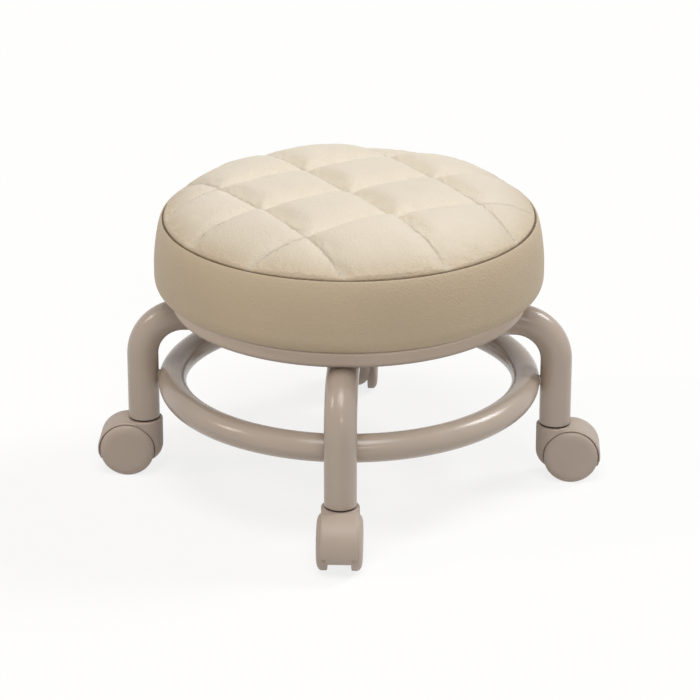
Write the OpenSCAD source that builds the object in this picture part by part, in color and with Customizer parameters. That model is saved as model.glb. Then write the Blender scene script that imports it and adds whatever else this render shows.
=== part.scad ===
// Low rolling stool: a round quilted cushion on a bent tube frame with a foot ring and four casters.
// Millimetres, +Z up, origin on the floor under the middle of the seat, legs on the X and Y axes.

/* [Cushion] */
// Radius of the side band at its widest
cushion_r = 153; // [149:0.2:160]
// Radius of the seam between the side band and the quilted top
seam_r = 145.5; // [142:0.1:148]
// Height of the side band, from the pan's rim to the seam
band_h = 59.2; // [54:0.2:80]
// Height over which the side band swells out from the pan's rim
band_foot_h = 14.6; // [8:0.1:24]
// Height over which the side band draws in to the seam
band_shoulder_h = 36.7; // [20:0.1:44]
// Thickness of the cover leather
leather_t = 1.2; // [0.8:0.1:2]

/* [Quilting] */
// Rise of the stitch lines above the seam at the middle of the seat
crown_h = 17.4; // [12:0.1:28]
// Rise of a wide pillow above the stitch lines beside it
tuft_h = 15.4; // [4:0.1:18]
// Distance from a stitch line within which most of a pillow's rise happens
tuft_reach = 12; // [8:0.5:30]
// Direction of the first family of stitch lines, in degrees
line_angle_a = -55.3; // [-70:0.1:-40]
// Direction of the second family of stitch lines, in degrees
line_angle_b = 31.3; // [18:0.1:45]
// Spacing of the first family of stitch lines
line_pitch_a = 75.8; // [60:0.1:90]
// Spacing of the second family of stitch lines
line_pitch_b = 63.9; // [50:0.1:80]
// Offset of the first family's middle line from the centre of the seat
line_shift_a = -4.6; // [-12:0.1:12]
// Offset of the second family's middle line from the centre of the seat
line_shift_b = -7.4; // [-12:0.1:12]

/* [Seat base] */
// Outer radius of the seat pan
pan_r = 139.6; // [130:0.2:141]
// Height of the pan from its underside to its rim
pan_h = 13.8; // [9:0.1:17]
// Sheet thickness of the pan
pan_t = 1.5; // [1:0.1:2.5]
// Outer corner radius of the pan
pan_corner_r = 4; // [3:0.5:6]
// Thickness of the plywood seat board
board_t = 15; // [11:0.5:18]
// Distance of the seat bolts from the middle of the seat
bolt_circle_r = 90; // [60:1:115]
// Shank diameter of the seat bolts
bolt_d = 6; // [5:0.5:8]
// Head diameter of the seat bolts
bolt_head_d = 11; // [9.5:0.5:14]
// Head height of the seat bolts
bolt_head_h = 3.3; // [2:0.1:5]
// Flange diameter of the tee nuts
tee_flange_d = 18; // [14:0.5:24]
// Flange thickness of the tee nuts
tee_flange_t = 1.5; // [1:0.1:2]
// Wall of the tee nuts' barrels
tee_wall = 1.5; // [1:0.1:2.5]
// Barrel length of the tee nuts
tee_barrel_h = 8; // [5:0.5:9]

/* [Frame] */
// Distance of the legs from the middle of the seat
leg_r = 164.4; // [158:0.2:180]
// Outer diameter of the leg tubes
tube_d = 25; // [23:0.5:28]
// Wall of the leg tubes
tube_wall = 1.5; // [1:0.1:2]
// Radius of the leg tubes' bends, at the tube's axis
bend_r = 34; // [26:0.5:42]
// Height of the top of the frame above the floor
frame_top_z = 146.5; // [140:0.5:180]
// Outer diameter of the foot ring's tube
ring_tube_d = 22; // [16:0.5:26]
// Wall of the foot ring's tube
ring_wall = 1.5; // [1:0.1:2]
// Height of the foot ring's axis above the floor
ring_z = 82.3; // [74:0.1:96]
// Radius of the weld collars between the foot ring and the legs
weld_r = 4; // [3:0.5:6]
// Gap between the foot ring and the legs that the weld fills
weld_root = 0.4; // [0.3:0.1:0.6]
// Diameter of the foot ring's drain hole
drain_d = 3; // [2:0.5:5]

/* [Caster housing] */
// Distance from the swivel axis to the axle
trail = 13.2; // [11:0.1:15]
// Rise of the neck's top above the hood
neck_rise = 0; // [0:0.1:3]
// Radius of the neck
neck_r = 14.7; // [14:0.1:16.5]
// Edge radius at the top of the neck
neck_edge_r = 1; // [0.4:0.1:1.6]
// Height at which the neck starts to round in to its heel
heel_z = 23.5; // [21:0.5:28]
// Radius of the heel's curve
heel_r = 16.5; // [15:0.1:18]
// Wall of the hood over the wheels
hood_wall = 1.3; // [1.2:0.1:2.2]
// Width of the hood's rounded edges, across the caster
hood_edge_w = 5; // [1:0.1:6.5]
// Depth of the hood's rounded edges, towards the axle
hood_edge_h = 14; // [1:0.1:16]
// Height of the hood's end above the floor, beside the wheels
hood_tip_z = 17.4; // [15:0.1:20]
// Height of the hood's end above the floor, between the wheels
hood_lip_z = 12.7; // [10:0.1:14.5]
// Lap of the hood's end over the wheels on both sides of it, between the wheels
hood_lip_lap = 0.7; // [0:0.1:2]
// Thickness of the web between the wheels
web_t = 8; // [6:0.5:12]
// Wall of the boss around the axle
axle_boss_wall = 4; // [2:0.5:5]
// Wall of the boss around the stem
stem_boss_wall = 2.9; // [2:0.1:4]

/* [Caster wheels] */
// Diameter of the wheels
wheel_d = 43.4; // [40:0.2:48]
// Width of one wheel
wheel_w = 8.1; // [7.4:0.1:9]
// Width of the rounded edge of a wheel's outer face, along the axle
wheel_edge_w = 4; // [1:0.1:5]
// Depth of the rounded edge of a wheel's outer face, towards the axle
wheel_edge_h = 7; // [1:0.1:9]
// Edge radius of a wheel's inner face
wheel_inner_edge_r = 0.8; // [0.4:0.1:1.5]
// Thickness of a wheel's tread
tread_t = 4; // [3:0.2:6]
// Thickness of a wheel's face
face_t = 2.2; // [1.6:0.1:3]
// Wall of a wheel's hub around the axle
hub_wall = 3.5; // [2:0.1:5]
// Depth of the axle's hole in a wheel
bore_depth = 5.4; // [4:0.1:5.6]
// Diameter of the axle
axle_d = 6; // [5:0.2:7]

/* [Caster stems] */
// Diameter of the stem
stem_d = 11; // [9:0.1:12]
// Length of the stem inside the caster
stem_foot = 20; // [14:0.5:22]
// Length of the stem inside the leg
stem_head = 34; // [28:0.5:42]
// Length of the socket past the stem's end
socket_spare = 2; // [0.5:0.5:6]
// Thickness of the socket's flange under the leg
flange_t = 1.3; // [0.4:0.1:1.5]
// Distance of the flange in from the outside of the leg
flange_inset = 0.5; // [0:0.1:1]
// Width of the groove for the grip ring
groove_w = 3; // [2:0.1:4]
// Depth of the groove for the grip ring
groove_d = 1; // [0.6:0.1:1.5]
// Distance of the groove from the stem's end
groove_from_end = 5; // [4:0.5:8]
// Width of the slit in the grip ring
ring_slit = 2; // [1:0.5:3]

/* [Fits] */
// Radial clearance of turning parts
run_fit = 0.05; // [0.02:0.01:0.1]
// Radial clearance of pressed parts
press_fit = 0.01; // [0.005:0.005:0.02]
// Clearance between welded parts
weld_gap = 0.02; // [0.01:0.01:0.05]
// Clearance around soft parts
soft_gap = 0.3; // [0.2:0.1:0.6]
// Radial clearance of bolts in their holes
bolt_fit = 0.3; // [0.2:0.1:0.6]
// Gap between a wheel and the hood over it
wheel_gap = 0.5; // [0.4:0.1:1.2]
// Gap between a wheel and the stem's boss beside it
wheel_side_gap = 0.9; // [0.6:0.1:1.5]
// Gap between a wheel's hub and the axle's boss, and past the axle's ends
hub_gap = 0.5; // [0.3:0.1:0.9]
// Gap between a caster's neck and the socket above it
swivel_gap = 0.4; // [0.3:0.1:0.8]

/* [Hidden] */
$fn = 180;
// Segments in a drawn fillet
FILLET_STEPS = 8;
// Segments in each swell of the side band
BAND_STEPS = 12;
// How full the side band's shoulder is: 1 is an ellipse, and more is flatter
SHOULDER_POW = 1.25;
// Overlap that lets a cut pass clean through a face
CUT = 1;
// A quarter turn, in degrees
QUARTER = 90;

// Caster heights and radii
wheel_r = wheel_d / 2;
axle_z = wheel_r;
axle_r = axle_d / 2;
axle_boss_r = axle_r + axle_boss_wall;
hub_r = axle_r + hub_wall;
stem_r = stem_d / 2;
stem_boss_r = stem_r + stem_boss_wall;
wheel_in = stem_boss_r + wheel_side_gap;
half_w = wheel_in + wheel_w;
boss_half = wheel_in - hub_gap;
axle_half = wheel_in + bore_depth - hub_gap;
pocket_r = wheel_r + wheel_gap;
hood_r = pocket_r + hood_wall;
neck_top_z = axle_z + hood_r + neck_rise;

// Frame heights and radii
leg_end_z = neck_top_z + swivel_gap + flange_t;
tube_r = tube_d / 2;
frame_mid_z = frame_top_z - tube_r;
bend_z = frame_mid_z - bend_r;
ring_tube_r = ring_tube_d / 2;
ring_r = leg_r - tube_r - ring_tube_r - weld_root;
stem_end_z = leg_end_z + stem_head;
socket_h = stem_head + socket_spare;
groove_z = stem_end_z - groove_from_end - groove_w;
socket_bore_r = stem_r + run_fit;

// Seat heights and radii
pan_z = frame_top_z + weld_gap;
pan_floor_z = pan_z + pan_t;
rim_z = pan_z + pan_h;
skirt_r = pan_r - pan_t - soft_gap;
board_r = skirt_r - leather_t - soft_gap;
board_top_z = pan_floor_z + board_t;
band_z = rim_z + soft_gap;
seam_z = band_z + band_h;
bolt_top_z = board_top_z - tee_flange_t;
bolt_hole_d = bolt_d + 2 * bolt_fit;
tee_barrel_d = bolt_d + 2 * tee_wall;

// How the stitch lines and the pillows fall off towards the seam
STITCH_POW = 9;
STITCH_FALL = 1.8;
PILLOW_POW = 3.7;
PILLOW_FALL = 0.92;
// How crisp the hips are that run up from each crossing of the stitch lines
HIP_POW = 3;
// Pillows stuffed less or more than the rest: place among the lines of both families, and share of the rise
STUFFING = [[[1, 1], 0.25], [[-1, 1], 1.1]];
// Least rise of a pillow, so that no share of it is divided by zero
LEAST_RISE = 0.000001;
// Stitch lines of a family, counted from its middle line
LINES = [-1, 0, 1];
// Grid steps across one pillow, and rings in the strip along the seam
PILLOW_STEPS = 8;
RIM_RINGS = 3;
// Width of the strip along the seam
rim_strip = 12;
// Distance from a row's end within which a column is taken to that end
SNAP = 2.5;

// Sides of the stool, a quarter turn apart
SIDES = ["right", "back", "left", "front"];
CASTER_PIECES = ["socket", "hood", "stem", "axle", "wheel_1", "wheel_2"];

PAINT = [0.66, 0.60, 0.55];
CASTER_PLASTIC = [0.64, 0.58, 0.53];
DARK_PLASTIC = [0.13, 0.12, 0.11];
STEEL = [0.75, 0.75, 0.77];
PLYWOOD = [0.78, 0.65, 0.46];
FOAM = [0.93, 0.90, 0.80];
TOP_LEATHER = [0.91, 0.86, 0.77];
BAND_LEATHER = [0.82, 0.75, 0.62];

// Points along an arc, ends included, of a circle or of an ellipse with its own rise
function arc(centre, r, from, to, rise) =
    let (up = is_undef(rise) ? r : rise)
    [for (k = [0 : FILLET_STEPS]) let (a = from + (to - from) * k / FILLET_STEPS)
        centre + [r * cos(a), up * sin(a)]];

// Quarter turns from the right side to a named side
function side_turn(name) = search([name], SIDES)[0];

// Places its children at a leg
module at_leg(turn) {
    rotate([0, 0, turn * QUARTER]) translate([leg_r, 0, 0]) children();
}

module at_every_leg() {
    for (turn = [0 : len(SIDES) - 1]) at_leg(turn) children();
}

module at_every_bolt() {
    for (turn = [0 : len(SIDES) - 1])
        rotate([0, 0, turn * QUARTER]) translate([bolt_circle_r, 0, 0]) children();
}

// Frame

// One leg on the X axis, bent over to run in under the seat, with spare length at its foot
module bent_leg(r, spare = 0) {
    translate([leg_r, 0, leg_end_z - spare]) cylinder(r = r, h = bend_z - leg_end_z + spare);
    translate([leg_r - bend_r, 0, bend_z])
        rotate([QUARTER, 0, 0]) rotate_extrude(angle = QUARTER) translate([bend_r, 0]) circle(r);
    translate([0, 0, frame_mid_z]) rotate([0, QUARTER, 0]) cylinder(r = r, h = leg_r - bend_r);
}

module bolt_hole() {
    translate([bolt_circle_r, 0, frame_mid_z]) cylinder(d = bolt_hole_d, h = 2 * tube_d, center = true);
}

module at_both_ends() {
    for (side = ["right", "left"]) rotate([0, 0, side_turn(side) * QUARTER]) children();
}

module arch_tube() {
    color(PAINT) difference() {
        at_both_ends() bent_leg(tube_r);
        at_both_ends() {
            bent_leg(tube_r - tube_wall, CUT);
            bolt_hole();
        }
    }
}

// A single leg whose inner end is coped to fit the arch tube
module half_tube(side) {
    color(PAINT) rotate([0, 0, side_turn(side) * QUARTER]) difference() {
        bent_leg(tube_r);
        bent_leg(tube_r - tube_wall, CUT);
        bolt_hole();
        translate([0, 0, frame_mid_z])
            rotate([QUARTER, 0, 0]) cylinder(r = tube_r + weld_gap, h = 3 * tube_d, center = true);
    }
}

module ring_torus(r) {
    translate([0, 0, ring_z]) rotate_extrude() translate([ring_r, 0]) circle(r);
}

module foot_ring() {
    color(PAINT) difference() {
        ring_torus(ring_tube_r);
        ring_torus(ring_tube_r - ring_wall);
        rotate([0, 0, QUARTER / 2]) translate([ring_r, 0, ring_z - ring_tube_d])
            cylinder(d = drain_d, h = ring_tube_d);
    }
}

// Collars of weld between the foot ring and the inside of each leg
module ring_welds() {
    color(PAINT) at_every_leg() translate([-tube_r, 0, ring_z]) difference() {
        rotate([0, QUARTER, 0]) cylinder(r = weld_r, h = 2 * weld_r, center = true);
        translate([tube_r, 0, 0]) cylinder(r = tube_r + weld_gap, h = 4 * weld_r, center = true);
        translate([-weld_root - ring_tube_r, 0, 0]) rotate([QUARTER, 0, 0])
            cylinder(r = ring_tube_r + weld_gap, h = 4 * weld_r, center = true);
    }
}

// Seat base

module seat_pan() {
    wall_mid = pan_r - pan_t / 2;
    corner = [pan_r - pan_corner_r, pan_z + pan_corner_r];
    profile = concat(
        [[0, pan_z]],
        arc(corner, pan_corner_r, -QUARTER, 0),
        arc([wall_mid, rim_z - pan_t / 2], pan_t / 2, 0, 2 * QUARTER),
        arc(corner, pan_corner_r - pan_t, 0, -QUARTER),
        [[0, pan_floor_z]]
    );
    color(PAINT) difference() {
        rotate_extrude() polygon(profile);
        at_every_bolt() translate([0, 0, pan_z - CUT]) cylinder(d = bolt_hole_d, h = pan_t + 2 * CUT);
    }
}

// The board's lower edge is cut back to clear the pan's inner corner
module seat_board() {
    board_edge = pan_corner_r - pan_t;
    color(PLYWOOD) difference() {
        union() {
            translate([0, 0, pan_floor_z]) cylinder(r1 = board_r - board_edge, r2 = board_r, h = board_edge);
            translate([0, 0, pan_floor_z + board_edge]) cylinder(r = board_r, h = board_t - board_edge);
        }
        at_every_bolt() {
            translate([0, 0, pan_floor_z - CUT])
                cylinder(d = tee_barrel_d + 2 * press_fit, h = board_t + 2 * CUT);
            translate([0, 0, bolt_top_z])
                cylinder(d = tee_flange_d + 2 * press_fit, h = tee_flange_t + CUT);
        }
    }
}

module tee_nuts() {
    color(STEEL) at_every_bolt() difference() {
        union() {
            translate([0, 0, bolt_top_z]) cylinder(d = tee_flange_d, h = tee_flange_t);
            translate([0, 0, bolt_top_z - tee_barrel_h]) cylinder(d = tee_barrel_d, h = tee_barrel_h);
        }
        translate([0, 0, bolt_top_z - tee_barrel_h - CUT])
            cylinder(d = bolt_d + 2 * press_fit, h = tee_barrel_h + tee_flange_t + 2 * CUT);
    }
}

module seat_bolts() {
    head_z = frame_top_z - tube_d;
    color(STEEL) at_every_bolt() {
        translate([0, 0, head_z]) cylinder(d = bolt_d, h = bolt_top_z - head_z);
        translate([0, 0, head_z - bolt_head_h]) cylinder(d = bolt_head_d, h = bolt_head_h);
    }
}

// Cushion

// Outline of the side band from the pan's rim to the seam, drawn in by an inset
function band_outline(inset) = concat(
    [for (k = [0 : BAND_STEPS]) let (a = QUARTER * k / BAND_STEPS) [
        pan_r + (cushion_r - inset - pan_r) * sin(a),
        band_z + inset + (band_foot_h - inset) * (1 - cos(a))
    ]],
    [for (k = [0 : BAND_STEPS]) let (a = QUARTER * k / BAND_STEPS) [
        seam_r - inset + (cushion_r - seam_r) * pow(cos(a), SHOULDER_POW),
        seam_z - band_shoulder_h * (1 - pow(sin(a), SHOULDER_POW))
    ]]
);

// A skin of leather that is tucked between the seat board and the pan's rim
module side_band() {
    skirt_z = pan_floor_z + pan_corner_r;
    outer = band_outline(0);
    inner = band_outline(leather_t);
    color(BAND_LEATHER) rotate_extrude() polygon(concat(
        [[skirt_r, skirt_z], [skirt_r, band_z]],
        outer,
        [for (k = [len(inner) - 1 : -1 : 0]) inner[k]],
        [[skirt_r - leather_t, band_z + leather_t], [skirt_r - leather_t, skirt_z]]
    ));
}

module foam_core() {
    inset = leather_t + soft_gap;
    color(FOAM) rotate_extrude() intersection() {
        polygon(concat([[0, band_z]], [[pan_r, band_z]], band_outline(inset), [[0, seam_z]]));
        translate([0, board_top_z]) square([cushion_r, band_h]);
    }
}

// The quilted top is a grid whose lines follow the stitch lines, with a strip of rings along the seam

function across(angle) = [cos(angle + QUARTER), sin(angle + QUARTER)];
along_a = [cos(line_angle_a), sin(line_angle_a)];
across_a = across(line_angle_a);
across_b = across(line_angle_b);

function to_line(offset, shift, pitch) = min([for (k = LINES) abs(offset - shift - k * pitch)]);
function puff(distance) = 1 - exp(-distance / tuft_reach);

// The lesser of two rises, with the ridge where they meet rounded more the higher it is
function soft_least(first, second) =
    let (low = max(LEAST_RISE, min(first, second)), high = max(LEAST_RISE, first, second))
    low * pow(1 + pow(low / high, HIP_POW), -1 / HIP_POW);

// Share of a full pillow's rise at a point of the seat
function stuffing(point) =
    let (
        place = [
            floor((point * across_a - line_shift_a) / line_pitch_a),
            floor((point * across_b - line_shift_b) / line_pitch_b)
        ],
        found = [for (pillow = STUFFING) if (pillow[0] == place) pillow[1]]
    )
    len(found) > 0 ? found[0] : 1;

// Height of the quilted top over a point of the seat
function top_z(point) =
    let (
        share = min(1, norm(point) / seam_r),
        stitch = crown_h * pow(1 - pow(share, STITCH_POW), STITCH_FALL),
        pillow = (crown_h + tuft_h) * pow(1 - pow(share, PILLOW_POW), PILLOW_FALL),
        swell_a = puff(to_line(point * across_a, line_shift_a, line_pitch_a)),
        swell_b = puff(to_line(point * across_b, line_shift_b, line_pitch_b))
    )
    seam_z + leather_t + stitch + (pillow - stitch) * soft_least(swell_a, swell_b) * stuffing(point);

// Grid offsets across a family of stitch lines, closer together near the seam
function grid_offsets(shift, pitch, reach) =
    let (first = shift - pitch, last = shift + pitch)
    concat(
        [for (k = [0 : PILLOW_STEPS - 1]) first - (first + reach) * cos(QUARTER * k / PILLOW_STEPS)],
        [for (k = [0 : 2 * PILLOW_STEPS]) first + pitch * k / PILLOW_STEPS],
        [for (k = [PILLOW_STEPS - 1 : -1 : 0]) last + (reach - last) * cos(QUARTER * k / PILLOW_STEPS)]
    );

grid_r = seam_r - rim_strip;
rows = grid_offsets(line_shift_a, line_pitch_a, grid_r);
columns = grid_offsets(line_shift_b, line_pitch_b, grid_r + CUT);
row_last = len(rows) - 1;
column_count = len(columns);

// A row of the grid is a chord of the seat, and the columns outside it fall on its two ends
function half_chord(row) = sqrt(max(0, grid_r * grid_r - rows[row] * rows[row]));
function place_on_row(row, offset) =
    (offset - rows[row] * (across_a * across_b)) / (along_a * across_b);
function row_middle(row) = rows[row] * (across_a * across_b);
// A column that crosses a row close to its end is taken to that end, so that no triangle is a sliver
function is_past(row, offset) = abs(place_on_row(row, offset)) > half_chord(row) - SNAP;
function snap_to_row(row, t) = abs(t) > half_chord(row) - SNAP ? sign(t) * half_chord(row) : t;
function grid_point(row, column) =
    rows[row] * across_a + snap_to_row(row, place_on_row(row, columns[column])) * along_a;

// The columns at which a row starts and ends
function first_column(row) =
    len([for (c = columns) if (is_past(row, c) && c < row_middle(row)) 1]) - 1;
function last_column(row) =
    column_count - len([for (c = columns) if (is_past(row, c) && c >= row_middle(row)) 1]);
function row_is_point(row) = row == 0 || row == row_last;
function grid_index(row, column) =
    row * column_count + (row_is_point(row) ? first_column(row)
        : max(first_column(row), min(last_column(row), column)));

function is_triangle(t) = t[0] != t[1] && t[1] != t[2] && t[2] != t[0];

module quilted_top() {
    points = [for (row = [0 : row_last]) for (column = [0 : column_count - 1]) grid_point(row, column)];
    rim = concat(
        [for (row = [0 : row_last]) grid_index(row, 0)],
        [for (row = [row_last - 1 : -1 : 1]) grid_index(row, column_count - 1)]
    );
    count = len(rim);
    ring_start = len(points);
    rings = [for (ring = [1 : RIM_RINGS]) for (k = rim)
        points[k] * (grid_r + rim_strip * ring / RIM_RINGS) / grid_r];
    floor_start = ring_start + len(rings);
    edge = [for (k = [count * (RIM_RINGS - 1) : count * RIM_RINGS - 1]) rings[k]];

    vertices = concat(
        [for (p = concat(points, rings)) [p[0], p[1], top_z(p)]],
        [for (p = edge) [p[0], p[1], seam_z]]
    );

    function ring_index(ring, k) = ring == 0 ? rim[k % count] : ring_start + (ring - 1) * count + k % count;
    function floor_index(k) = floor_start + k % count;

    sheet = [for (row = [0 : row_last - 1]) for (column = [0 : column_count - 2]) let (
            a = grid_index(row, column),
            b = grid_index(row + 1, column),
            c = grid_index(row + 1, column + 1),
            d = grid_index(row, column + 1)
        ) each [[a, d, c], [a, c, b]]];
    strip = [for (ring = [0 : RIM_RINGS - 1]) for (k = [0 : count - 1]) let (
            a = ring_index(ring, k),
            b = ring_index(ring, k + 1),
            c = ring_index(ring + 1, k + 1),
            d = ring_index(ring + 1, k)
        ) each [[a, b, c], [a, c, d]]];
    wall = [for (k = [0 : count - 1]) let (
            a = ring_index(RIM_RINGS, k),
            b = ring_index(RIM_RINGS, k + 1),
            c = floor_index(k + 1),
            d = floor_index(k)
        ) each [[a, b, c], [a, c, d]]];
    underside = [for (k = [1 : count - 2]) [floor_index(0), floor_index(k), floor_index(k + 1)]];

    color(TOP_LEATHER)
        polyhedron(vertices, [for (t = concat(sheet, strip, wall, underside)) if (is_triangle(t)) t]);
}

// Casters, drawn at the swivel axis with the wheels trailing towards +X

// Where the neck's round outline runs on into the flat sides of the hood
tangent_angle = atan2(half_w, trail) + acos(neck_r / norm([trail, half_w]));
tangent_x = neck_r * cos(tangent_angle);
tangent_y = neck_r * sin(tangent_angle);

module hood_outline() {
    half = [[tangent_x, tangent_y], [trail, half_w], [trail + hood_r, half_w]];
    polygon(concat(half, [for (k = [len(half) - 1 : -1 : 0]) [half[k][0], -half[k][1]]]));
}

// A disc over both wheels, with rounded edges
module hood_disc() {
    edge = [hood_r - hood_edge_h, half_w - hood_edge_w];
    profile = concat(
        [[0, -half_w]],
        arc([edge[0], -edge[1]], hood_edge_h, -QUARTER, 0, hood_edge_w),
        arc(edge, hood_edge_h, 0, QUARTER, hood_edge_w),
        [[0, half_w]]
    );
    translate([trail, 0, axle_z]) rotate([QUARTER, 0, 0]) rotate_extrude() polygon(profile);
}

// The round neck with its heel drawn in below
module neck() {
    heel_centre = [neck_r - heel_r, heel_z];
    heel_bottom = acos((heel_r - neck_r) / heel_r);
    edge_centre = [neck_r - neck_edge_r, neck_top_z - neck_edge_r];
    rotate_extrude() polygon(concat(
        arc(heel_centre, heel_r, -heel_bottom, 0),
        arc(edge_centre, neck_edge_r, 0, QUARTER),
        [[0, neck_top_z]]
    ));
}

module along_axle(r, half) {
    translate([trail, 0, axle_z]) rotate([QUARTER, 0, 0]) cylinder(r = r, h = 2 * half, center = true);
}

module hood_shell() {
    neck();
    intersection() {
        translate([0, 0, hood_tip_z]) linear_extrude(2 * hood_r) hood_outline();
        hood_disc();
    }
    intersection() {
        along_axle(hood_r, wheel_in + hood_lip_lap);
        translate([trail, -half_w, hood_lip_z]) cube([2 * hood_r, 2 * half_w, hood_tip_z - hood_lip_z + CUT]);
    }
}

module wheel_pockets() {
    for (side = [-1, 1]) translate([trail, side * half_w, axle_z])
        rotate([QUARTER, 0, 0]) cylinder(r = pocket_r, h = 2 * half_w - web_t, center = true);
}

module caster_hood() {
    stem_z = neck_top_z - stem_foot;
    color(CASTER_PLASTIC) difference() {
        union() {
            difference() {
                hood_shell();
                wheel_pockets();
            }
            along_axle(axle_boss_r, boss_half);
            translate([0, 0, stem_z - hood_wall])
                cylinder(r = stem_boss_r, h = stem_foot + hood_wall + swivel_gap - run_fit);
        }
        along_axle(axle_r + press_fit, half_w);
        translate([0, 0, stem_z]) cylinder(r = stem_r + press_fit, h = stem_foot + CUT);
    }
}

module caster_stem() {
    chamfer = groove_d;
    color(STEEL) translate([0, 0, neck_top_z - stem_foot]) difference() {
        union() {
            cylinder(r = stem_r, h = stem_end_z - chamfer - neck_top_z + stem_foot);
            translate([0, 0, stem_end_z - chamfer - neck_top_z + stem_foot])
                cylinder(r1 = stem_r, r2 = stem_r - chamfer, h = chamfer);
        }
        translate([0, 0, groove_z - neck_top_z + stem_foot]) difference() {
            cylinder(r = stem_d, h = groove_w);
            cylinder(r = stem_r - groove_d, h = groove_w);
        }
    }
}

module caster_socket() {
    color(DARK_PLASTIC) difference() {
        union() {
            translate([0, 0, leg_end_z - flange_t]) cylinder(r = tube_r - flange_inset, h = flange_t);
            translate([0, 0, leg_end_z]) cylinder(r = tube_r - tube_wall - press_fit, h = socket_h);
        }
        translate([0, 0, leg_end_z - flange_t - CUT])
            cylinder(r = socket_bore_r, h = flange_t + socket_h + 2 * CUT);
    }
}

// Split rings that sit in the stems' grooves and grip the sockets
module grip_rings() {
    color(STEEL) at_every_leg() translate([0, 0, groove_z + run_fit]) difference() {
        cylinder(r = socket_bore_r - press_fit, h = groove_w - 2 * run_fit);
        translate([0, 0, -CUT]) cylinder(r = stem_r - groove_d + run_fit, h = groove_w + 2 * CUT);
        translate([0, -ring_slit / 2, -CUT]) cube([stem_d, ring_slit, groove_w + 2 * CUT]);
    }
}

module caster_axle() {
    color(STEEL) along_axle(axle_r, axle_half);
}

// One wheel of the pair, on the side of the caster that is given as -1 or 1
module caster_wheel(side) {
    recess = wheel_w - face_t;
    bore_r = axle_r + run_fit;
    profile = concat(
        [[0, bore_depth], [bore_r, bore_depth], [bore_r, 0], [hub_r, 0], [hub_r, recess]],
        [[wheel_r - tread_t, recess], [wheel_r - tread_t, 0]],
        arc([wheel_r - wheel_inner_edge_r, wheel_inner_edge_r], wheel_inner_edge_r, -QUARTER, 0),
        arc([wheel_r - wheel_edge_h, wheel_w - wheel_edge_w], wheel_edge_h, 0, QUARTER, wheel_edge_w),
        [[0, wheel_w]]
    );
    color(CASTER_PLASTIC) translate([trail, side * wheel_in, axle_z])
        rotate([-side * QUARTER, 0, 0]) rotate_extrude() polygon(profile);
}

arch_tube();
half_tube("front");  // front_leg_tube
half_tube("back");  // back_leg_tube
foot_ring();
ring_welds();
seat_pan();
seat_board();
seat_bolts();
tee_nuts();
foam_core();
side_band();
quilted_top();
grip_rings();
for (turn = [0 : len(SIDES) - 1]) {
    at_leg(turn) caster_socket();
    at_leg(turn) caster_hood();
    at_leg(turn) caster_stem();
    at_leg(turn) caster_axle();
    at_leg(turn) caster_wheel(-1);
    at_leg(turn) caster_wheel(1);
}
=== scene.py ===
# Looks of a low rolling stool: leather cushion, painted frame and plastic casters around the CAD frame.
import math

import bpy
import numpy as np
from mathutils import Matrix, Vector
from mathutils.geometry import delaunay_2d_cdt


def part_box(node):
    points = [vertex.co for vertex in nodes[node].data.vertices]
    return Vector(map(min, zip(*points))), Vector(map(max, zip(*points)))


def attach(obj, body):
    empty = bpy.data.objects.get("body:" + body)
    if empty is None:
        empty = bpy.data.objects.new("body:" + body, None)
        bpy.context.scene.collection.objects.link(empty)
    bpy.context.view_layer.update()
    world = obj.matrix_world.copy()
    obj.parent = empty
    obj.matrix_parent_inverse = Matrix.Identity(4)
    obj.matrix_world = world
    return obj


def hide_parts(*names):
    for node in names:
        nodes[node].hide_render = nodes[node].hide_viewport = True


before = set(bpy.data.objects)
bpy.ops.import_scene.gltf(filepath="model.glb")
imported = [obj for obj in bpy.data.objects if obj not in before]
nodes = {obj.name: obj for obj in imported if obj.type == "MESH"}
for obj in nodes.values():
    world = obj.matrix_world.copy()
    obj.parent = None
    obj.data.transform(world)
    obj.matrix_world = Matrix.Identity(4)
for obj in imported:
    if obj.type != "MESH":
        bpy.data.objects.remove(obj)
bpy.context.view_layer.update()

MM = 0.001
FULL_TURN = 2 * math.pi
SIDES = ("right", "back", "left", "front")

# Camera at the photograph's angle, with its focal length and centre in pixels of a square picture
IMAGE_PX = 700
FOCAL_PX = 3245.5
CENTRE_PX = 349.06
CAMERA_AZIMUTH = math.radians(2.27)
CAMERA_ELEVATION = math.radians(22.11)
CAMERA_DISTANCE = 2.5766
CAMERA_TARGET = Vector((0, 0, 0.10542))
SENSOR_MM = 36

# Sizes of the cushion and the pan, taken from the CAD solids
TOP_LOW, TOP_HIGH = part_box("quilted_top")
PAN_LOW, PAN_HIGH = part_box("seat_pan")
SEAM_R = TOP_HIGH.x
SEAM_Z = TOP_LOW.z
CUSHION_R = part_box("side_band")[1].x
PAN_R = PAN_HIGH.x
RIM_Z = PAN_HIGH.z

# Quilting: two families of stitch lines, and how high the lines and the pillows stand
LINE_ANGLE_A = math.radians(-55.3)
LINE_ANGLE_B = math.radians(31.3)
LINE_PITCH_A = 75.8 * MM
LINE_PITCH_B = 63.9 * MM
LINE_SHIFT_A = -4.6 * MM
LINE_SHIFT_B = -7.4 * MM
LINES = (-1, 0, 1)
CROWN_H = 17.4 * MM
TUFT_H = 14.6 * MM
TUFT_REACH = 12 * MM
LEATHER_T = 1.2 * MM
# How the stitch lines and the pillows fall off towards the seam
STITCH_POW = 9
STITCH_FALL = 1.8
PILLOW_POW = 3.7
PILLOW_FALL = 0.92
# How crisp the hips are that run up from each crossing of the lines, and the least rise they start from
HIP_POW = 3
LEAST_RISE = 1e-6
# Half width of the rounded floor of a stitched valley
VALLEY_SOFT = 0.5 * MM
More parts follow.
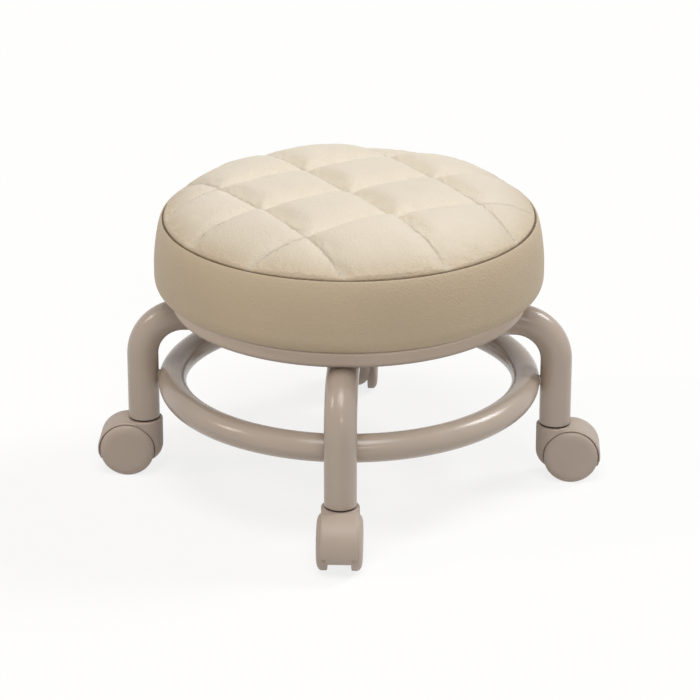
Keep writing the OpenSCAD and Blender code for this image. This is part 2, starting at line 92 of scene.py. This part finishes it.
# Pillows that are stuffed less or more than the rest, by their place among the lines of both families
STUFFING = {
    (1, 1): 0.25, (-1, 1): 1.1, (-1, -1): 1.2, (0, -1): 1.1,
    (-1, -2): 1.8, (-2, -1): 1.6, (-2, -2): 1.5, (0, -2): 1.3,
}

# Mesh of the quilted top: a grid crowded along the lines, and rings at these insets in mm from the edge
STEPS_PER_PILLOW = 26
STEP_CROWDING = 0.85
RIM_INSETS = (0, 0.15, 0.45, 0.9, 1.5, 2.4, 3.6, 5.2)
RIM_STEPS = 480
GRID_MARGIN = 6.6 * MM
TRIANGLES_TO_HULL = 0
MERGE_DISTANCE = 1e-7

# Cloth simulation of the quilted leather: its length, its weight and stiffness, the slack and the pressure
# that let it swell, the pull of a free point to its place, and the most that a point moves
CLOTH_FRAMES = 10
CLOTH_STEPS = 4
CLOTH_MASS = 0.3
CLOTH_TENSION = 15
CLOTH_SHEAR = 5
CLOTH_BEND = 0.3
CLOTH_EASE = 0.012
CLOTH_PRESSURE = 1.5
CLOTH_MEMORY = 0.25
CLOTH_CAP = 1.2 * MM
LEAST_MOVE = 1e-9
# Points this near a line or the edge are held
HELD_W = 1 * MM
HELD_LEAST = 0.5

# Width over which painted shade darkens the leather at a stitch line and at the band's foot, and width over
# which, towards the seam, the top is painted darker as shade and the band lighter as a painted highlight
CREASE_W = 1.2 * MM
FOOT_CREASE_W = 3 * MM
SEAM_SHADING_W = 14 * MM
SEAM_SHADING_POW = 1.3
# Share of the painted seam shade that the top takes
TOP_SEAM_SHADE_SHARE = 0.85
# How dark the painted shade in the creases is
CREASE_PAINTED_SHADE = 0.75

# Seam between the top and the band: a narrow groove with a dark cord in it that stands in for the shade in
# the groove, as painted shade, and the band's rolled lip beside it
GROOVE_W = 1.2 * MM
GROOVE_DEPTH = 3 * MM
SHADOW_CORD_R = 0.7 * MM
SHADOW_CORD_DROP = 1.1 * MM
SHADOW_CORD_SIDES = 10
LIP_R = 0.9 * MM
LIP_DROP = 0.6 * MM
LIP_STEPS = 6
TOP_EDGE_R = SEAM_R - GROOVE_W / 2
LIP_EDGE_R = SEAM_R + GROOVE_W / 2
# How the leather rolls over at the top's edge
ROLL_W = 1.8 * MM
ROLL_DROP = 1.4 * MM

# Side band
BAND_LIFT = 1 * MM
BAND_Z = RIM_Z + BAND_LIFT
BAND_FOOT_H = 13.9 * MM
BAND_SHOULDER_H = 36.7 * MM
# How full the shoulder and the foot are: 1 is an ellipse, less is fuller and more is flatter
SHOULDER_POW = 1.32
FOOT_POW = 0.8
BAND_STEPS = 32
TURN_STEPS = 256
# The band is tucked in just inside the pan's wall
PAN_WALL = 1.5 * MM
BAND_GAP = 0.3 * MM
TUCK_R = PAN_R - PAN_WALL - BAND_GAP
TUCK_DEPTH = 5 * MM

# Rolled bead around the pan's rim, and painted shade that darkens the pan's lower edge
BEAD_R = 1.3 * MM
BEAD_INSET = 0.3 * MM
BEAD_DROP = 1.7 * MM
BEAD_SIDES = 14
HEM_H = 5 * MM
HEM_PAINTED_SHADE = 0.46

# Stitches along the quilting: rings at these shares of half a stitch, and how its ends dip and taper
STITCH_PITCH = 4.2 * MM
STITCH_L = 3.2 * MM
STITCH_R = 0.28 * MM
STITCH_SIDES = 6
STITCH_RINGS = (-1, -0.8, -0.4, 0, 0.4, 0.8, 1)
STITCH_PROUD = 0.6
STITCH_DIP_POW = 4
STITCH_TAPER = 0.75
STITCH_TAPER_POW = 6

# Colours, as linear values
TOP_CREAM = (0.80, 0.73, 0.61)
# Tan that the top is painted towards at its seam: painted shade
TOP_SEAM_PAINTED_SHADE = (0.59, 0.48, 0.335)
# The band: the top's leather drawn darker and warmer, as painted shade
BAND_PAINTED_SHADE_TAN = (0.525, 0.425, 0.295)
# Lighter tan towards the seam on the band: a painted highlight
BAND_SEAM_PAINTED_HIGHLIGHT = (0.60, 0.49, 0.345)
THREAD_CREAM = (0.71, 0.62, 0.49)
# Dark brown of the seam cord: painted shade in the groove
SEAM_SHADOW_BROWN = (0.15, 0.11, 0.07)
FRAME_TAUPE = (0.485, 0.405, 0.34)
# The frame's paint on the pan and its bead, drawn lighter as painted light
PAN_PAINTED_LIGHT_TAUPE = (0.68, 0.57, 0.48)
CASTER_TAUPE = (0.475, 0.395, 0.335)
SOCKET_BLACK = (0.05, 0.035, 0.027)
ZINC = (0.62, 0.62, 0.64)
PLY = (0.55, 0.38, 0.19)
WHITE = (1, 1, 1)
WARM_WHITE = (1, 0.90, 0.78)

# Finishes: where a blend of two shades starts and ends, and how far sharp edges look rounded
BLEND_START = 0.3
BLEND_END = 0.7
EDGE_ROUND = 0.5 * MM
EDGE_SAMPLES = 6

# Stage: a wide floor that glows by a share, is matte for the rest and sends back less light than it shows,
# and soft light from the world
FLOOR_HALF = 6
FLOOR_GLOW = 0.82
FLOOR_BOUNCE = 0.78
WORLD_FILL = 0.18
# Broad distant lamps: name, azimuth, elevation and spread in degrees, light on a surface that faces it, tint
SOFTBOXES = (
    ("overhead", 2, 67, 34, 0.455, WHITE),
    ("key", 116, 44, 20, 0.39, WHITE),
    ("left", -80, 34, 14, 0.14, WARM_WHITE),
    ("front", 12, 26, 10, 0.05, WARM_WHITE),
)


def scaled(colour, share=1):
    """A colour made lighter or darker, with alpha."""
    return tuple(c * share for c in colour) + (1,)


class Shader:
    """A material's nodes, with short calls to add and join them."""

    def __init__(self, name):
        self.material = bpy.data.materials.new(name)
        self.material.use_nodes = True
        self.tree = self.material.node_tree
        self.tree.nodes.clear()
        self.surface = self.add("ShaderNodeBsdfPrincipled")
        self.output = self.add("ShaderNodeOutputMaterial", {"Surface": self.surface.outputs["BSDF"]})
        self.place = self.add("ShaderNodeTexCoord").outputs["Object"]

    def add(self, kind, inputs=None, **settings):
        """A new node with its settings, and its inputs linked or set."""
        node = self.tree.nodes.new(kind)
        for key, value in settings.items():
            setattr(node, key, value)
        self.put(node, inputs or {})
        return node

    def put(self, node, inputs):
        for key, value in inputs.items():
            if isinstance(value, bpy.types.NodeSocket):
                self.tree.links.new(value, node.inputs[key])
            else:
                node.inputs[key].default_value = value

    def noise(self, scale, detail, place=None):
        inputs = {"Vector": place or self.place, "Scale": scale, "Detail": detail}
        return self.add("ShaderNodeTexNoise", inputs).outputs["Fac"]

    def pebbles(self, scale):
        inputs = {"Vector": self.place, "Scale": scale}
        return self.add("ShaderNodeTexVoronoi", inputs, feature="SMOOTH_F1").outputs["Distance"]

    def stretched(self, scale):
        inputs = {"Vector": self.place, "Scale": scale}
        return self.add("ShaderNodeMapping", inputs).outputs["Vector"]

    def share(self, name):
        """A share that is stored at the points of the mesh."""
        return self.add("ShaderNodeAttribute", attribute_name=name).outputs["Fac"]

    def height_share(self, low, high):
        """A share that goes from 0 at a low height to 1 at a high one."""
        height = self.add("ShaderNodeSeparateXYZ", {"Vector": self.place}).outputs["Z"]
        inputs = {"Value": height, "From Min": low, "From Max": high}
        return self.add("ShaderNodeMapRange", inputs, interpolation_type="SMOOTHSTEP").outputs["Result"]

    def shades(self, factor, colour, dark, light):
        """A blend of a darker and a lighter shade of one colour."""
        node = self.add("ShaderNodeValToRGB", {"Fac": factor})
        first, last = node.color_ramp.elements
        first.position, first.color = BLEND_START, scaled(colour, dark)
        last.position, last.color = BLEND_END, scaled(colour, light)
        return node.outputs["Color"]

    def spread(self, factor, low, high):
        inputs = {"Value": factor, "To Min": low, "To Max": high}
        return self.add("ShaderNodeMapRange", inputs).outputs["Result"]

    def mix(self, factor, first, second):
        inputs = {"Fac": factor, "Color1": first, "Color2": second}
        return self.add("ShaderNodeMixRGB", inputs).outputs["Color"]

    def bump(self, height, strength, distance, normal=None):
        inputs = {"Height": height, "Strength": strength, "Distance": distance}
        if normal:
            inputs["Normal"] = normal
        return self.add("ShaderNodeBump", inputs).outputs["Normal"]

    def rounded_edges(self):
        inputs = {"Radius": EDGE_ROUND}
        return self.add("ShaderNodeBevel", inputs, samples=EDGE_SAMPLES).outputs["Normal"]

    def finish(self, base, roughness, normal, metallic=0, specular=0.5):
        """Set the surface and give the material."""
        self.put(self.surface, {
            "Base Color": base,
            "Roughness": roughness,
            "Normal": normal,
            "Metallic": metallic,
            "Specular IOR Level": specular,
        })
        return self.material


# Materials

def leather(name, colour, seam_shading_colour):
    """Leatherette with a fine pebble grain, a painted tone towards the seam, which is painted shade on the
    top and a painted highlight on the band, and painted shade in its creases.
    """
    shader = Shader(name)
    mottle = shader.noise(scale=14, detail=3)
    wrinkle = shader.noise(scale=260, detail=4)
    base = shader.shades(mottle, colour, dark=0.965, light=1.02)
    # The colour painted towards the seam (shade on the top, a highlight on the band), then painted shade in
    # the creases
    base = shader.mix(shader.share("edge"), base, scaled(seam_shading_colour))
    base = shader.mix(shader.share("crease_shade"), base, scaled(colour, CREASE_PAINTED_SHADE))
    grain = shader.bump(shader.pebbles(scale=640), strength=0.8, distance=0.45 * MM)
    return shader.finish(
        base=base,
        roughness=shader.spread(wrinkle, low=0.46, high=0.6),
        normal=shader.bump(wrinkle, strength=0.2, distance=0.5 * MM, normal=grain),
    )


def sprayed(shader, colour):
    """Mottling, tone and orange peel of sprayed paint."""
    mottle = shader.noise(scale=22, detail=3)
    peel = shader.noise(scale=420, detail=2)
    return mottle, shader.shades(mottle, colour, dark=0.97, light=1.03), peel


def powder_coat(name, colour):
    """Semi-gloss paint with a faint orange peel."""
    shader = Shader(name)
    mottle, base, peel = sprayed(shader, colour)
    return shader.finish(
        base=base,
        roughness=shader.spread(mottle, low=0.19, high=0.26),
        normal=shader.bump(peel, strength=0.05, distance=0.3 * MM, normal=shader.rounded_edges()),
    )


def pan_coat(name, colour):
    """The frame's paint on the pan, duller, in a lighter colour that is painted light, and darker along the
    hem of the pan as painted shade.
    """
    shader = Shader(name)
    mottle, base, peel = sprayed(shader, colour)
    # Painted shade, darker towards the pan's lower edge
    above_hem_shade = shader.height_share(PAN_LOW.z, PAN_LOW.z + HEM_H)
    return shader.finish(
        base=shader.mix(above_hem_shade, scaled(colour, HEM_PAINTED_SHADE), base),
        roughness=shader.spread(mottle, low=0.42, high=0.5),
        normal=shader.bump(peel, strength=0.05, distance=0.3 * MM),
        specular=0.25,
    )


def moulded(name, colour, smooth, rough):
    """Moulded plastic with a fine spark-eroded texture."""
    shader = Shader(name)
    mottle = shader.noise(scale=30, detail=2)
    spark = shader.noise(scale=2600, detail=2)
    return shader.finish(
        base=shader.shades(mottle, colour, dark=0.97, light=1.03),
        roughness=shader.spread(spark, low=smooth, high=rough),
        normal=shader.bump(spark, strength=0.1, distance=0.1 * MM, normal=shader.rounded_edges()),
    )


def plated(name, colour):
    """Zinc plated steel with fine turning marks."""
    shader = Shader(name)
    turning = shader.noise(scale=120, detail=3, place=shader.stretched((1, 1, 30)))
    cloud = shader.noise(scale=70, detail=2)
    return shader.finish(
        base=shader.shades(cloud, colour, dark=0.85, light=1.1),
        roughness=shader.spread(turning, low=0.28, high=0.45),
        normal=shader.bump(turning, strength=0.06, distance=0.1 * MM),
        metallic=1,
    )


def plywood(name, colour):
    """Plywood with stretched grain."""
    shader = Shader(name)
    grain = shader.noise(scale=60, detail=5, place=shader.stretched((1, 12, 12)))
    return shader.finish(
        base=shader.shades(grain, colour, dark=0.7, light=1.15),
        roughness=shader.spread(grain, low=0.6, high=0.8),
        normal=shader.bump(grain, strength=0.2, distance=0.3 * MM),
    )


def spun_thread(name, colour):
    """Sewing thread or cord with a twisted lay."""
    shader = Shader(name)
    twist = shader.noise(scale=1800, detail=2)
    return shader.finish(
        base=shader.shades(twist, colour, dark=0.8, light=1.15),
        roughness=shader.spread(twist, low=0.6, high=0.8),
        normal=shader.bump(twist, strength=0.4, distance=0.1 * MM),
    )


# Meshes

def new_piece(name, vertices, faces, material):
    """A smooth mesh that rides on the frame."""
    mesh = bpy.data.meshes.new(name)
    mesh.from_pydata([tuple(v) for v in vertices], [], [tuple(int(i) for i in f) for f in faces])
    mesh.validate()
    mesh.polygons.foreach_set("use_smooth", [True] * len(mesh.polygons))
    mesh.materials.append(material)
    piece = bpy.data.objects.new(name, mesh)
    bpy.context.scene.collection.objects.link(piece)
    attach(piece, "frame")
    return piece


def store_share(piece, name, values):
    """Store a share at each point of a mesh, for its material."""
    layer = piece.data.attributes.new(name, "FLOAT", "POINT")
    layer.data.foreach_set("value", values.astype(np.float32))


def near(distance, width, power=2):
    """A share that falls from 1 to 0 with distance."""
    return np.exp(-(distance / width) ** power)


def lathe(profile):
    """Vertices and faces of a closed outline of radius and height pairs, turned about the Z axis."""
    angles = np.arange(TURN_STEPS) * FULL_TURN / TURN_STEPS
    vertices = [(r * math.cos(a), r * math.sin(a), z) for a in angles for r, z in profile]
    count = len(profile)
    faces = []
    for turn in range(TURN_STEPS):
        here = turn * count
        there = (turn + 1) % TURN_STEPS * count
        for k in range(count):
            after = (k + 1) % count
            faces.append((here + k, there + k, there + after, here + after))
    return vertices, faces


def arc(centre, radius, start, end, steps):
    """Points on an arc between two angles in degrees."""
    angles = np.radians(np.linspace(start, end, steps + 1))
    return [(centre[0] + radius * math.cos(a), centre[1] + radius * math.sin(a)) for a in angles]


def round_ring(name, centre, radius, sides, material):
    """A round cord or bead that runs around the seat."""
    vertices, faces = lathe(arc(centre, radius, 0, 360, sides)[:-1])
    return new_piece(name, vertices, faces, material)


# Quilted top

class StitchLines:
    """A family of parallel stitch lines across the seat."""

    def __init__(self, angle, pitch, shift):
        self.along = np.array((math.cos(angle), math.sin(angle)))
        self.across = np.array((-math.sin(angle), math.cos(angle)))
        self.pitch = pitch
        self.shift = shift

    def distance(self, points):
        """How far each point is from the nearest line."""
        offset = points @ self.across
        return np.min([np.abs(offset - self.shift - k * self.pitch) for k in LINES], axis=0)

    def strip(self, points):
        """The strip between two lines that each point lies in, where the outer strips reach to the seam."""
        number = np.floor((points @ self.across - self.shift) / self.pitch)
        return np.clip(number, LINES[0] - 1, LINES[-1])

    def crowded_offsets(self):
        """Offsets across the lines, crowded together near each line."""
        step = np.arange(STEPS_PER_PILLOW) / STEPS_PER_PILLOW
        strip = step - STEP_CROWDING * np.sin(FULL_TURN * step) / FULL_TURN
        reach = math.ceil(SEAM_R / self.pitch) + 1
        return np.concatenate([self.shift + (k + strip) * self.pitch for k in range(-reach, reach)])

    def stitch_places(self):
        """Middles of all stitches on the lines."""
        edge_r = TOP_EDGE_R - STITCH_L
        for k in LINES:
            offset = self.shift + k * self.pitch
            count = int(math.sqrt(edge_r ** 2 - offset ** 2) / STITCH_PITCH)
            for step in range(-count, count + 1):
                yield offset * self.across + step * STITCH_PITCH * self.along


LINES_A = StitchLines(LINE_ANGLE_A, LINE_PITCH_A, LINE_SHIFT_A)
LINES_B = StitchLines(LINE_ANGLE_B, LINE_PITCH_B, LINE_SHIFT_B)


def puff(distance):
    """How far a pillow has risen at a distance from its stitch line."""
    soft = np.sqrt(distance ** 2 + VALLEY_SOFT ** 2) - VALLEY_SOFT
    return np.maximum(1 - np.exp(-soft / TUFT_REACH), LEAST_RISE)


def soft_least(first, second):
    """The lesser of two rises, with the ridge where they meet rounded more the higher it is."""
    low = np.minimum(first, second)
    high = np.maximum(first, second)
    return low * (1 + (low / high) ** HIP_POW) ** (-1 / HIP_POW)


def stuffing(points):
    """How full the pillow is that each point lies on."""
    share = np.ones(len(points))
    strip_a = LINES_A.strip(points)
    strip_b = LINES_B.strip(points)
    for (a, b), fill in STUFFING.items():
        share[(strip_a == a) & (strip_b == b)] = fill
    return share


def top_height(points):
    """Height of the quilted top over points of the seat."""
    radius = np.linalg.norm(points, axis=1)
    share = np.minimum(1, radius / SEAM_R)
    stitch = CROWN_H * (1 - share ** STITCH_POW) ** STITCH_FALL
    pillow = (CROWN_H + TUFT_H) * (1 - share ** PILLOW_POW) ** PILLOW_FALL
    rise = soft_least(puff(LINES_A.distance(points)), puff(LINES_B.distance(points))) * stuffing(points)
    past = np.clip(1 - (TOP_EDGE_R - radius) / ROLL_W, 0, 1)
    roll = ROLL_DROP * (1 - np.sqrt(1 - past ** 2))
    return SEAM_Z + LEATHER_T + stitch + (pillow - stitch) * rise - roll


def top_points():
    """Points of the seat: rings along the edge, and a grid along the stitch lines."""
    angles = np.arange(RIM_STEPS) * FULL_TURN / RIM_STEPS
    circle = np.stack((np.cos(angles), np.sin(angles)), axis=1)
    rings = [circle * (TOP_EDGE_R - inset * MM) for inset in RIM_INSETS]
    offset_a, offset_b = np.meshgrid(LINES_A.crowded_offsets(), LINES_B.crowded_offsets())
    offsets = np.stack((offset_a.ravel(), offset_b.ravel()), axis=1)
    grid = offsets @ np.linalg.inv(np.stack((LINES_A.across, LINES_B.across))).T
    grid = grid[np.linalg.norm(grid, axis=1) < TOP_EDGE_R - GRID_MARGIN]
    return np.concatenate(rings + [grid])


def settle(piece, held):
    """Let the leather settle as cloth held by its stitches and its edge, and cap how far a point moves."""
    scene = bpy.context.scene
    mesh = piece.data
    before = np.empty(3 * len(mesh.vertices))
    mesh.vertices.foreach_get("co", before)
    group = piece.vertex_groups.new(name="held")
    for index, weight in enumerate(held):
        group.add([index], float(weight), "REPLACE")
    modifier = piece.modifiers.new("settling", "CLOTH")
    cloth = modifier.settings
    cloth.quality = CLOTH_STEPS
    cloth.mass = CLOTH_MASS
    cloth.tension_stiffness = CLOTH_TENSION
    cloth.compression_stiffness = CLOTH_TENSION
    cloth.shear_stiffness = CLOTH_SHEAR
    cloth.bending_stiffness = CLOTH_BEND
    cloth.shrink_min = -CLOTH_EASE
    cloth.vertex_group_mass = group.name
    cloth.use_pressure = True
    cloth.uniform_pressure_force = CLOTH_PRESSURE
    cloth.effector_weights.gravity = 0
    modifier.collision_settings.use_collision = False
    modifier.point_cache.frame_end = CLOTH_FRAMES
    for moment in range(1, CLOTH_FRAMES + 1):
        scene.frame_set(moment)
    settled = piece.evaluated_get(bpy.context.evaluated_depsgraph_get()).data
    after = np.empty_like(before)
    settled.vertices.foreach_get("co", after)
    piece.modifiers.remove(modifier)
    piece.vertex_groups.remove(group)
    scene.frame_set(1)
    move = (after - before).reshape(-1, 3)
    length = np.maximum(np.linalg.norm(move, axis=1), LEAST_MOVE)
    move *= (CLOTH_CAP * np.tanh(length / CLOTH_CAP) / length)[:, None]
    mesh.vertices.foreach_set("co", before + move.ravel())
    mesh.update()


def quilted_top(material):
    """The quilted leather, closed underneath by a wall and a floor in the groove of the seam."""
    points = [Vector(p) for p in top_points()]
    flat, _, faces, _, _, _ = delaunay_2d_cdt(points, [], [], TRIANGLES_TO_HULL, MERGE_DISTANCE)
    plan = np.array([tuple(p) for p in flat])
    vertices = [(x, y, z) for (x, y), z in zip(plan, top_height(plan))]
    faces = [tuple(f) for f in faces]
    rim = range(RIM_STEPS)
    floor_start = len(vertices)
    vertices += [(plan[k][0], plan[k][1], SEAM_Z - GROOVE_DEPTH) for k in rim]
    for k in rim:
        after = (k + 1) % RIM_STEPS
        faces.append((k, floor_start + k, floor_start + after, after))
    faces.append(tuple(floor_start + k for k in reversed(rim)))
    piece = new_piece("cushion_top", vertices, faces, material)
    places = np.array([v[:2] for v in vertices])
    from_line = np.minimum(LINES_A.distance(places), LINES_B.distance(places))
    from_edge = np.maximum(0, TOP_EDGE_R - np.linalg.norm(places, axis=1))
    # Painted shade along the stitch lines, and painted shade towards the seam
    store_share(piece, "crease_shade", near(from_line, CREASE_W))
    store_share(piece, "edge", TOP_SEAM_SHADE_SHARE * near(from_edge, SEAM_SHADING_W, SEAM_SHADING_POW))
    held = np.maximum(near(from_line, HELD_W), near(from_edge, HELD_W))
    settle(piece, np.where(held > HELD_LEAST, 1, CLOTH_MEMORY))
    return piece


def add_stitch(vertices, faces, middle, lines):
    """One stitch, a short bead that dips into the leather at both ends."""
    start = len(vertices)
    for share in STITCH_RINGS:
        plan = middle + lines.along * share * STITCH_L / 2
        z = top_height(plan[None, :])[0] + STITCH_R * (STITCH_PROUD - share ** STITCH_DIP_POW)
        radius = STITCH_R * (1 - STITCH_TAPER * share ** STITCH_TAPER_POW)
        for side in range(STITCH_SIDES):
            turn = FULL_TURN * side / STITCH_SIDES
            x, y = plan + lines.across * radius * math.cos(turn)
            vertices.append((x, y, z + radius * math.sin(turn)))
    last = start + (len(STITCH_RINGS) - 1) * STITCH_SIDES
    for ring in range(start, last, STITCH_SIDES):
        for side in range(STITCH_SIDES):
            a = ring + side
            b = ring + (side + 1) % STITCH_SIDES
            faces.append((a, b, b + STITCH_SIDES, a + STITCH_SIDES))
    faces.append(tuple(start + side for side in reversed(range(STITCH_SIDES))))
    faces.append(tuple(last + side for side in range(STITCH_SIDES)))


def quilt_stitches(material):
    """Short stitches along every line, lying in the floor of the valley."""
    vertices = []
    faces = []
    for lines in (LINES_A, LINES_B):
        for middle in lines.stitch_places():
            add_stitch(vertices, faces, middle, lines)
    return new_piece("quilt_stitches", vertices, faces, material)


# Side band

def side_band(material):
    """The band from its tuck inside the pan, over its swell, to the rolled lip at the seam."""
    turns = np.linspace(0, math.pi / 2, BAND_STEPS)
    rise = np.sin(turns)
    fall = np.cos(turns)
    foot_r = PAN_R + (CUSHION_R - PAN_R) * rise ** FOOT_POW
    foot_z = BAND_Z + BAND_FOOT_H * (1 - fall ** FOOT_POW)
    crest_r = LIP_EDGE_R + LIP_R
    crest_z = SEAM_Z - LIP_DROP
    shoulder_r = crest_r + (CUSHION_R - crest_r) * fall ** SHOULDER_POW
    shoulder_z = crest_z - BAND_SHOULDER_H * (1 - rise ** SHOULDER_POW)
    foot = list(zip(foot_r, foot_z))
    shoulder = list(zip(shoulder_r, shoulder_z))
    lip = arc((crest_r, crest_z - LIP_R), LIP_R, 90, 180, LIP_STEPS)[1:]
    inner = [
        (LIP_EDGE_R, SEAM_Z - GROOVE_DEPTH),
        (TUCK_R - LEATHER_T, SEAM_Z - GROOVE_DEPTH),
        (TUCK_R - LEATHER_T, BAND_Z - TUCK_DEPTH),
        (TUCK_R, BAND_Z - TUCK_DEPTH),
        (TUCK_R, BAND_Z),
    ]
    vertices, faces = lathe(foot + shoulder + lip + inner)
    piece = new_piece("cushion_band", vertices, faces, material)
    heights = np.array(vertices)[:, 2]
    # Painted highlight towards the seam, and painted shade at the band's foot
    store_share(piece, "edge", near(np.maximum(0, SEAM_Z - heights), SEAM_SHADING_W, SEAM_SHADING_POW))
    store_share(piece, "crease_shade", near(heights - BAND_Z, FOOT_CREASE_W))
    return piece


# Stage

def seen_rays(tree):
    """Share of rays that show the background: straight from the camera, mirrored or let through."""
    path = tree.nodes.new("ShaderNodeLightPath")
    seen = path.outputs["Is Camera Ray"]
    for ray in ("Is Glossy Ray", "Is Transmission Ray"):
        join = tree.nodes.new("ShaderNodeMath")
        join.operation = "MAXIMUM"
        tree.links.new(seen, join.inputs[0])
        tree.links.new(path.outputs[ray], join.inputs[1])
        seen = join.outputs["Value"]
    return seen


def stage_floor():
    """A white floor that keeps the soft shadow of the stool."""
    corners = [(x * FLOOR_HALF, y * FLOOR_HALF, 0) for x, y in ((-1, -1), (1, -1), (1, 1), (-1, 1))]
    mesh = bpy.data.meshes.new("floor")
    mesh.from_pydata(corners, [], [(0, 1, 2, 3)])
    floor = bpy.data.objects.new("floor", mesh)
    bpy.context.scene.collection.objects.link(floor)
    shader = Shader("floor_white")
    seen = seen_rays(shader.tree)
    glow = shader.add("ShaderNodeMath", {0: seen, 1: FLOOR_GLOW}, operation="MULTIPLY")
    glowing = shader.add("ShaderNodeEmission", {"Color": scaled(WHITE)})
    colour = shader.mix(seen, scaled(WHITE, FLOOR_BOUNCE), scaled(WHITE))
    matte = shader.add("ShaderNodeBsdfDiffuse", {"Color": colour})
    shares = {0: glow.outputs["Value"], 1: matte.outputs["BSDF"], 2: glowing.outputs["Emission"]}
    both = shader.add("ShaderNodeMixShader", shares)
    shader.put(shader.output, {"Surface": both.outputs["Shader"]})
    mesh.materials.append(shader.material)


def white_world():
    """A world that is white to look at and gives a little warm light."""
    world = bpy.data.worlds.new("studio")
    world.use_nodes = True
    tree = world.node_tree
    background = tree.nodes["Background"]
    seen = seen_rays(tree)
    strength = tree.nodes.new("ShaderNodeMapRange")
    strength.inputs["To Min"].default_value = WORLD_FILL
    strength.inputs["To Max"].default_value = 1
    tree.links.new(seen, strength.inputs["Value"])
    tree.links.new(strength.outputs["Result"], background.inputs["Strength"])
    tint = tree.nodes.new("ShaderNodeMixRGB")
    tint.inputs["Color1"].default_value = scaled(WARM_WHITE)
    tint.inputs["Color2"].default_value = scaled(WHITE)
    tree.links.new(seen, tint.inputs["Fac"])
    tree.links.new(tint.outputs["Color"], background.inputs["Color"])
    bpy.context.scene.world = world


def direction(azimuth, elevation):
    """Unit vector towards a place seen from the stool: azimuth 0 is the front, and 90 is the right."""
    flat = math.cos(elevation)
    return Vector((math.sin(azimuth) * flat, -math.cos(azimuth) * flat, math.sin(elevation)))


def aim(thing, towards):
    thing.rotation_euler = towards.to_track_quat("Z", "Y").to_euler()


def add_softbox(name, azimuth, elevation, spread, strength, tint):
    lamp = bpy.data.lights.new(name, "SUN")
    lamp.angle = math.radians(spread)
    lamp.energy = strength * math.pi
    lamp.color = tint
    box = bpy.data.objects.new(name, lamp)
    towards = direction(math.radians(azimuth), math.radians(elevation))
    box.location = CAMERA_TARGET + towards
    aim(box, towards)
    bpy.context.scene.collection.objects.link(box)


def add_camera():
    lens = bpy.data.cameras.new("camera")
    lens.sensor_width = SENSOR_MM
    lens.lens = FOCAL_PX * SENSOR_MM / IMAGE_PX
    lens.shift_x = (IMAGE_PX / 2 - CENTRE_PX) / IMAGE_PX
    camera = bpy.data.objects.new("camera", lens)
    towards = direction(CAMERA_AZIMUTH, CAMERA_ELEVATION)
    camera.location = CAMERA_TARGET + CAMERA_DISTANCE * towards
    aim(camera, towards)
    bpy.context.scene.collection.objects.link(camera)
    bpy.context.scene.camera = camera


# Finish of the CAD nodes

def dress(names, material):
    for name in names:
        nodes[name].data.materials.clear()
        nodes[name].data.materials.append(material)


def each_side(*pieces):
    return [f"{side}_{piece}" for side in SIDES for piece in pieces]


dress(["arch_tube", "front_leg_tube", "back_leg_tube", "foot_ring", "ring_welds"],
      powder_coat("frame_paint", FRAME_TAUPE))
# The pan's paint is drawn lighter than the frame's as painted light, with painted shade at its hem
dress(["seat_pan"], pan_coat("pan_paint_painted_shading", PAN_PAINTED_LIGHT_TAUPE))
dress(each_side("hood", "wheel_1", "wheel_2"),
      moulded("caster_plastic", CASTER_TAUPE, smooth=0.44, rough=0.56))
dress(each_side("socket"), moulded("dark_plastic", SOCKET_BLACK, smooth=0.54, rough=0.66))
dress(each_side("stem", "axle") + ["seat_bolts", "tee_nuts", "grip_rings"], plated("zinc_steel", ZINC))
dress(["seat_board"], plywood("plywood", PLY))

# Pieces of the cushion and the bead on the pan
top = quilted_top(leather("top_leather", TOP_CREAM, TOP_SEAM_PAINTED_SHADE))
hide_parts("quilted_top")
# The band's leather is the top's leather drawn darker and warmer as painted shade
band = side_band(leather("band_leather", BAND_PAINTED_SHADE_TAN, BAND_SEAM_PAINTED_HIGHLIGHT))
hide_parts("side_band", "foam_core")
quilt_stitches(spun_thread("quilt_thread", THREAD_CREAM))
# A dark cord in the groove of the seam, put where there is only shade: painted shade
round_ring("seam_shadow_cord", (SEAM_R, SEAM_Z - SHADOW_CORD_DROP), SHADOW_CORD_R, SHADOW_CORD_SIDES,
           spun_thread("seam_shadow_thread", SEAM_SHADOW_BROWN))
# The bead carries the pan's painted light
round_ring("pan_bead", (PAN_R - BEAD_INSET, RIM_Z - BEAD_DROP), BEAD_R, BEAD_SIDES,
           powder_coat("bead_paint_painted_light", PAN_PAINTED_LIGHT_TAUPE))

# Stage, lamps and camera
stage_floor()
white_world()
for softbox in SOFTBOXES:
    add_softbox(*softbox)
add_camera()
bpy.context.scene.view_settings.view_transform = "Standard"
